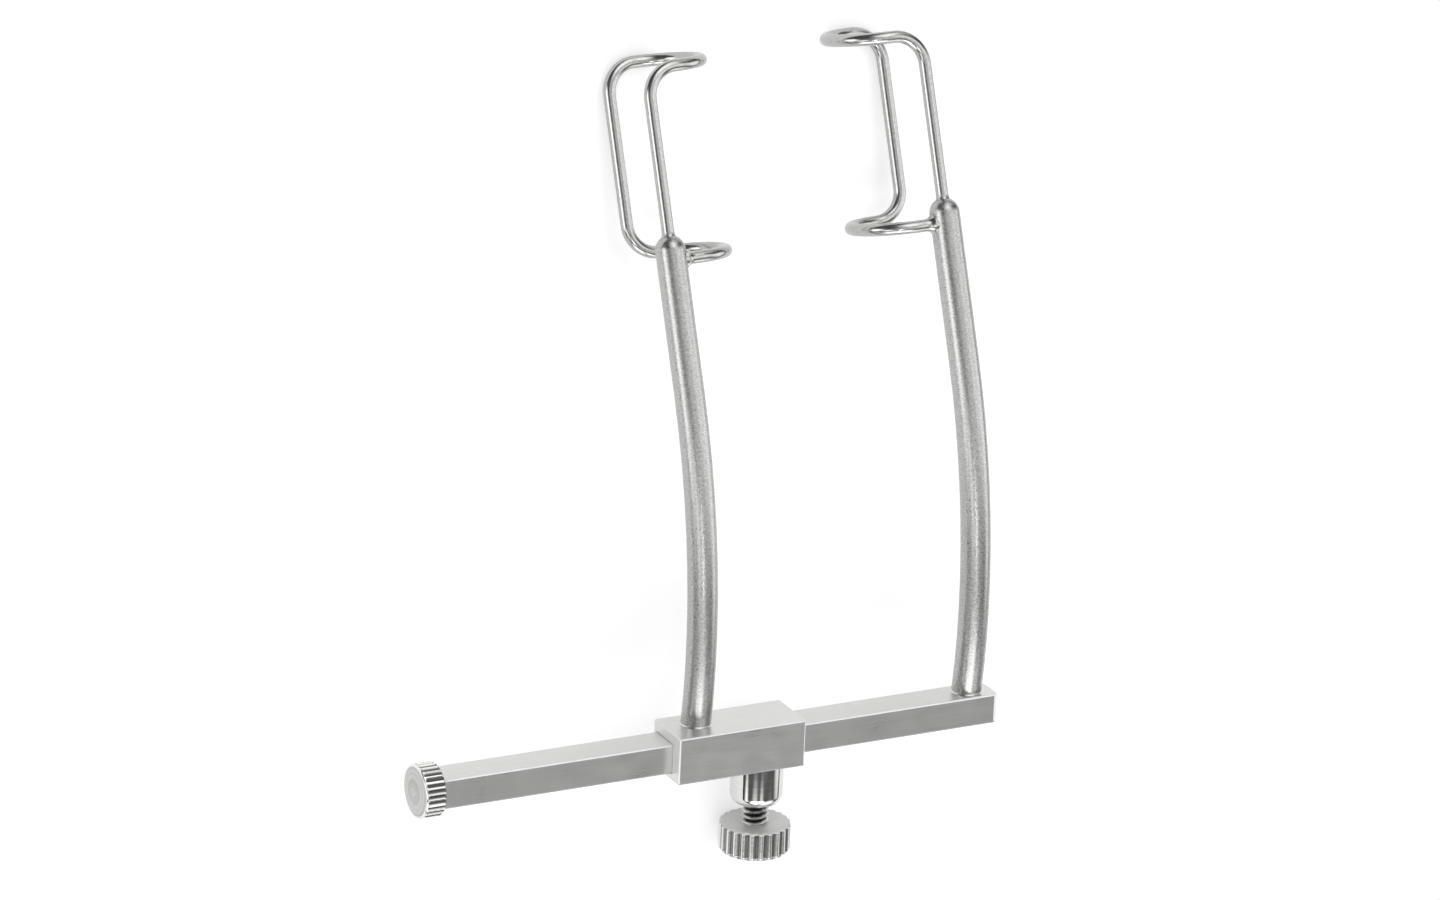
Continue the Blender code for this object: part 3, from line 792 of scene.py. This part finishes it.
# %% [markdown]
# ## The solder at the arms' feet
# A thin bright fillet of solder runs round each foot. The arm's own foot could flare out, but
# solder is smoother than the brushed rod, so the fillet is a ring of its own. It starts as a
# circle on the seat and climbs the rod in a quarter of a hollow round.

# %% Model the fillets
FILLET = 0.16 * MM
FILLET_STEPS = 6
FILLET_TUCK = 0.2


def make_fillet(name, body, x, seat):
    """A ring of solder on the seat, whose top tucks a little into the rod."""
    foot = bow_point(lean_at(seat))
    start = RIGHT * x + Vector((0.0, seat, foot.z))
    up = Vector((0.0, 1.0, 0.0))
    rings = [(0.0, ARM_RADIUS + FILLET)]
    for step in range(1, FILLET_STEPS + 1):
        angle = math.pi / 2 * step / FILLET_STEPS
        reach = FILLET * (1 - math.sin(angle)) - FILLET * FILLET_TUCK * step / FILLET_STEPS
        rings.append((FILLET * (1 - math.cos(angle)), ARM_RADIUS + reach))
    ring = start_round(name, start, up, rings[0][1], ARM_SIDES)
    profile(start, up, rings)
    finish_piece(ring, body, None, bright_solder, smooth=60.0)


make_fillet("fixed_arm_fillet", "frame", FIXED_ARM_X, BAR_SEAT)
make_fillet("sliding_arm_fillet", "slider", SLIDING_ARM_X, BLOCK_SEAT)

# %% [markdown]
# ## The lid blades
# Each blade is one wire. It leaves the tip of the arm, turns towards the other blade, goes round
# in a half circle to the back, down, and back through a lower half circle into the arm's side.
# So it is four quarter bends, two half bends and the straight runs between them, and it is bent
# here as by hand, with a spin for every bend. Solder flares round its end in the arm's side.

# %% Set the blades' sizes
BLADE_WIDTH = 15.995 * MM
BLADE_DEPTH = 7.4 * MM
BLADE_BEND = 2.4 * MM
BLADE_RISE = math.radians(5.5)
BLADE_BELOW_TIP = 0.8 * MM
WIRE_START = 0.5 * MM
WIRE_END = 0.8 * MM
print("Blades", round(BLADE_WIDTH / MM, 1), "mm wide, of", round(2 * WIRE_RADIUS / MM, 2), "mm wire")

# %% Shape the flare of solder at the wire's end
FLARE = 0.28 * MM
FLARE_LENGTH = 0.7 * MM
FLARE_STEPS = 8
FLARE_CURVE = 2.5


def flare_rings(length):
    """(distance, radius) pairs from the thin wire into the side of the arm."""
    inside = ARM_RADIUS - WIRE_END
    start = length - inside - FLARE_LENGTH
    rings = [(0.0, WIRE_RADIUS), (start, WIRE_RADIUS)]
    for step in range(1, FLARE_STEPS + 1):
        share = step / FLARE_STEPS
        rings.append((start + FLARE_LENGTH * share, WIRE_RADIUS + FLARE * share**FLARE_CURVE))
    rings.append((length, WIRE_RADIUS + FLARE))
    return rings


print("Flare", round(2 * (WIRE_RADIUS + FLARE) / MM, 2), "mm wide at the arm")


# %% Bend the blades
def make_blade(name, body, x, side):
    """One wire, bent into a blade whose prongs point towards side."""
    aside = Vector((side, 0.0, 0.0))
    dip = TIP_LEAN - BLADE_RISE
    back = Vector((0.0, -math.sin(dip), -math.cos(dip)))
    tip = TIP + RIGHT * x
    top = tip + TIP_UP * (BLADE_WIDTH - 2 * WIRE_RADIUS - BLADE_BELOW_TIP)
    bottom = tip - TIP_UP * BLADE_BELOW_TIP
    deep = back * BLADE_DEPTH
    corner = TIP_UP.cross(aside)
    loop = aside.cross(back)
    quarter, half = math.pi / 2, math.pi

    wire = start_round(name + "_wire", tip + TIP_UP * WIRE_START, TIP_UP, WIRE_RADIUS, WIRE_SIDES)
    run(top - TIP_UP * BLADE_BEND - tip - TIP_UP * WIRE_START)
    bend(top + (aside - TIP_UP) * BLADE_BEND, corner, quarter)
    bend(top + aside * BLADE_BEND + deep / 2, loop, half)
    bend(top + (aside - TIP_UP) * BLADE_BEND + deep, -corner, quarter)
    run(bottom - top + TIP_UP * 2 * BLADE_BEND)
    bend(bottom + (aside + TIP_UP) * BLADE_BEND + deep, -corner, quarter)
    bend(bottom + aside * BLADE_BEND + deep / 2, -loop, half)
    profile(bottom + aside * BLADE_BEND, -aside, flare_rings(BLADE_BEND - WIRE_END))
    finish_piece(wire, body, name, satin_wire)


make_blade("fixed_blade", "frame", FIXED_ARM_X, -1.0)
make_blade("sliding_blade", "slider", SLIDING_ARM_X, 1.0)

# %% [markdown]
# ## The clamp boss
# The boss is turned and polished, and its lower edge is rounded off. The screw comes out of its
# bore. The Screw modifier could turn its outline, but the travelling circle is there already: it
# goes down, narrows through a quarter round, and then goes back up inside itself as the bore.


# %% Stand a turned piece on its axis
def stand_at(place, axis):
    """The place of a turned piece that was modelled upright at the zero point."""
    turn = axis.to_track_quat("Z", "Y").to_matrix().to_4x4()
    return INSTRUMENT @ Matrix.Translation(place) @ turn


ZERO = Vector((0.0, 0.0, 0.0))
UPRIGHT = Vector((0.0, 0.0, 1.0))
CLAMP_STAND = stand_at(Vector((CLAMP_X, 0.0, 0.0)), Vector((0.0, -1.0, 0.0)))
STOP_STAND = stand_at(ZERO, Vector((-1.0, 0.0, 0.0)))


def start_turned(name, rings, sides):
    """Opens a turned piece with its first ring and carries it through the others."""
    distance, radius = rings[0]
    piece = start_round(name, UPRIGHT * distance, UPRIGHT, radius, sides)
    profile(ZERO, UPRIGHT, rings)
    return piece


print("The clamp points down at", round(CLAMP_X / MM, 2), "mm, and the stop points left")

# %% Model the clamp boss
BOSS_TOP = 1.735 * MM
BOSS_END = 5.425 * MM
BOSS_RADIUS = 2.1 * MM
BOSS_ROUND = 0.9 * MM
BORE_RADIUS = 1.08 * MM
BORE_FLOOR = 2.3 * MM
BORE_CHAMFER = 0.05 * MM


def quarter_round(distance, radius, size, steps):
    """(distance, radius) pairs of a rounded edge that starts at full radius."""
    rings = []
    for step in range(steps + 1):
        angle = math.pi / 2 * step / steps
        rings.append((distance + size * math.sin(angle), radius - size * (1 - math.cos(angle))))
    return rings


boss_rings = [(BOSS_TOP, BOSS_RADIUS)]
boss_rings += quarter_round(BOSS_END - BOSS_ROUND, BOSS_RADIUS, BOSS_ROUND, 14)
boss_rings += [(BOSS_END, BORE_RADIUS + BORE_CHAMFER), (BOSS_END - BORE_CHAMFER, BORE_RADIUS)]
boss_rings += [(BORE_FLOOR, BORE_RADIUS)]
boss = start_turned("clamp_boss_turned", boss_rings, 96)
finish_piece(boss, "slider", "clamp_boss", turned_boss, stand=CLAMP_STAND)

# %% [markdown]
# ## The thumb screw's head
# The head is a short drum with 24 rounded flutes for the fingers. They run out through its upper
# edge and end in the chamfer of the lower one, and the flat top and bottom are finely turned. A
# boolean with 24 cylinders could cut them, but it leaves long thin faces. Here every flute is a
# group of vertices on the rim that is drawn in towards the axis.

# %% Cut flutes into a drum
RIM_SHARE = 0.94


def cut_flutes(count, per_flute, radius, low, high):
    """Draws the rim in towards the axis in equal flutes, between two heights."""
    mesh = bpy.context.object.data
    for place in range(per_flute):
        off_middle = abs(place / per_flute - 0.5) * 2 / FLUTE_SHARE
        if off_middle >= 1:
            continue
        factor = 1 - FLUTE_DEPTH * (1 - off_middle**2) / radius
        bpy.ops.mesh.select_mode(type="VERT")
        bpy.ops.mesh.select_all(action="DESELECT")
        web = bmesh.from_edit_mesh(mesh)
        for vertex in web.verts:
            turn = math.atan2(vertex.co.y, vertex.co.x) / (2 * math.pi) * count % 1
            here = abs((turn - place / per_flute + 0.5) % 1 - 0.5) < 0.4 / per_flute
            on_rim = vertex.co.xy.length > radius * RIM_SHARE and low < vertex.co.z < high
            vertex.select_set(here and on_rim)
        web.select_flush_mode()
        bmesh.update_edit_mesh(mesh)
        bpy.ops.transform.resize(value=(factor, factor, 1), center_override=ZERO)
    print(count, "flutes with", per_flute, "steps each")


# %% Model the screw's head
HEAD_TOP = 7.075 * MM
HEAD_END = 9.425 * MM
TOP_CHAMFER = 0.1 * MM
HEAD_CHAMFER = 0.2 * MM
HEAD_FLUTES = 24
HEAD_STEPS = 12
HEAD_FLUTE_END = HEAD_END - 0.03 * MM


def chamfer_rings(end, inwards, radius, chamfer):
    """(distance, radius) pairs of a chamfer with soft corners, from a flat end inwards."""
    soft = [
        (0.0, chamfer + 0.04 * MM),
        (0.015 * MM, chamfer),
        (chamfer - 0.02 * MM, 0.035 * MM),
        (chamfer + 0.02 * MM, 0.0),
        (chamfer + 0.06 * MM, 0.0),
    ]
    return [(end + inwards * reach, radius - cut) for reach, cut in soft]


head_rings = chamfer_rings(HEAD_TOP, 1, HEAD_RADIUS, TOP_CHAMFER)
head_rings += reversed(chamfer_rings(HEAD_END, -1, HEAD_RADIUS, HEAD_CHAMFER))
head = start_turned("thumb_screw_head", head_rings, HEAD_FLUTES * HEAD_STEPS)
cut_flutes(HEAD_FLUTES, HEAD_STEPS, HEAD_RADIUS, 0.0, HEAD_FLUTE_END)
finish_piece(
    head,
    "screw",
    "thumb_screw",
    fluted_head,
    stand=CLAMP_STAND,
    others=[(turned_head, lambda middle, normal: abs(normal.z) > 0.5)],
)

# %% [markdown]
# ## The screw's thread
# Between the boss and the head the thread shows, with painted shade darkening its grooves. A stack of
# rings could pass for it from afar, but a real thread climbs as it goes round. So a zigzag, the section
# of one turn, is drawn by extruding a single vertex, and the Screw modifier carries it round and along
# the axis. It is then cut off flat just under the bar and inside the head. Both cuts lie a
# little beside the zigzag's own points, so that they make clean edges of their own.

# %% Model the screw's thread
THREAD_DEPTH = 0.27 * MM
THREAD_PITCH = 0.5 * MM
THREAD_START = 1.3 * MM
THREAD_TURNS = 13
THREAD_WELD = 0.001 * MM
THREAD_FORM = [(0.0, 0.0), (0.06, 0.0), (0.24, 1.0), (0.32, 1.0), (0.5, 0.0)]


def trim(height, side):
    """Cuts the piece off flat at a height and closes the cut."""
    bpy.ops.mesh.select_all(action="SELECT")
    bpy.ops.mesh.bisect(
        plane_co=(0, 0, height),
        plane_no=(0, 0, side),
        use_fill=True,
        clear_outer=True,
        threshold=0.0001 * MM,
    )


def make_thread():
    """A zigzag line that the Screw modifier carries round and down the clamp's axis."""
    bpy.ops.object.select_all(action="DESELECT")
    bpy.ops.mesh.primitive_plane_add(size=1 * MM)
    thread = bpy.context.object
    thread.name = thread.data.name = "thumb_screw_thread"
    bpy.ops.object.mode_set(mode="EDIT")
    bpy.ops.mesh.select_mode(type="VERT")
    bpy.ops.mesh.select_all(action="SELECT")
    bpy.ops.mesh.merge(type="CENTER")
    bpy.ops.transform.translate(value=(THREAD_RADIUS, 0, THREAD_START - THREAD_PITCH))
    height, sunk = THREAD_FORM[0]
    for next_height, next_sunk in THREAD_FORM[1:]:
        step = (-THREAD_DEPTH * (next_sunk - sunk), 0, (next_height - height) * MM)
        bpy.ops.mesh.extrude_region_move(TRANSFORM_OT_translate={"value": step})
        height, sunk = next_height, next_sunk
    bpy.ops.object.mode_set(mode="OBJECT")
    screw = thread.modifiers.new("screw", "SCREW")
    screw.screw_offset = THREAD_PITCH
    screw.iterations = THREAD_TURNS
    screw.steps = screw.render_steps = 48
    bpy.ops.object.modifier_apply(modifier="screw")
    bpy.ops.object.mode_set(mode="EDIT")
    bpy.ops.mesh.select_all(action="SELECT")
    bpy.ops.mesh.remove_doubles(threshold=THREAD_WELD)
    trim(THREAD_START + 0.004 * MM, -1)
    trim(HEAD_TOP + 0.104 * MM, 1)
    return thread


thread = make_thread()
finish_piece(thread, "screw", None, cut_thread, stand=CLAMP_STAND, smooth=35.0)

# %% [markdown]
# ## The end stop
# The stop keeps the slider on the bar. It is a fluted drum like the screw's head, with a smooth
# rounded rim in front of the flutes, a fine groove inside the rim and a face that is a little
# domed. The dome could be a few rings set by eye. As an arc of one large circle it has an even
# curve, so that the light glides over it.

# %% Shape the stop's domed face
FACE_FOOT = 1.76 * MM
FACE_CROWN = 1.917 * MM
FACE_RADIUS = 1.92 * MM
FACE_STEPS = 8
FACE_MIDDLE = 0.02 * MM


def face_dome():
    """(distance, radius) pairs of a shallow dome, from its foot to its crown."""
    rise = FACE_CROWN - FACE_FOOT
    ball = (FACE_RADIUS**2 + rise**2) / (2 * rise)
    rings = []
    for step in range(FACE_STEPS):
        radius = FACE_RADIUS * (1 - step / FACE_STEPS)
        rings.append((FACE_CROWN - ball + math.sqrt(ball**2 - radius**2), radius))
    return rings + [(FACE_CROWN, FACE_MIDDLE)]


print("Face", round((FACE_CROWN - FACE_FOOT) / MM, 3), "mm high in its middle")

# %% Model the end stop
STOP_FLUTES = 28
STOP_STEPS = 10
STOP_BACK = 0.02 * MM
STOP_FLUTE_END = 1.5 * MM
RIM_ROUND = 0.13 * MM
GROOVE_RADIUS = 1.97 * MM
BESIDE = 0.01 * MM

stop_rings = [
    (STOP_BACK, STOP_RADIUS - 0.12 * MM),
    (STOP_BACK + 0.1 * MM, STOP_RADIUS - 0.01 * MM),
    (STOP_BACK + 0.14 * MM, STOP_RADIUS),
    (STOP_BACK + 0.18 * MM, STOP_RADIUS),
    (STOP_FLUTE_END - 0.04 * MM, STOP_RADIUS),
    (STOP_FLUTE_END, STOP_RADIUS),
]
stop_rings += quarter_round(STOP_FLUTE_END + RIM_ROUND, STOP_RADIUS, RIM_ROUND, 6)
stop_rings += [(1.765 * MM, GROOVE_RADIUS + 0.04 * MM), (1.745 * MM, GROOVE_RADIUS)]
stop_rings += face_dome()
stop = start_turned("end_stop_drum", stop_rings, STOP_FLUTES * STOP_STEPS)
cut_flutes(STOP_FLUTES, STOP_STEPS, STOP_RADIUS, STOP_BACK + BESIDE, STOP_FLUTE_END + BESIDE)


def on_face(middle, normal):
    """Whether a face of the mesh lies inside the rim."""
    return middle.z > STOP_FLUTE_END and middle.xy.length < GROOVE_RADIUS


stop_parts = [
    (turned_rim, lambda middle, normal: middle.z > STOP_FLUTE_END + BESIDE),
    (turned_face, on_face),
]
finish_piece(
    stop, "frame", "end_stop", fluted_stop, stand=STOP_STAND, others=stop_parts
)
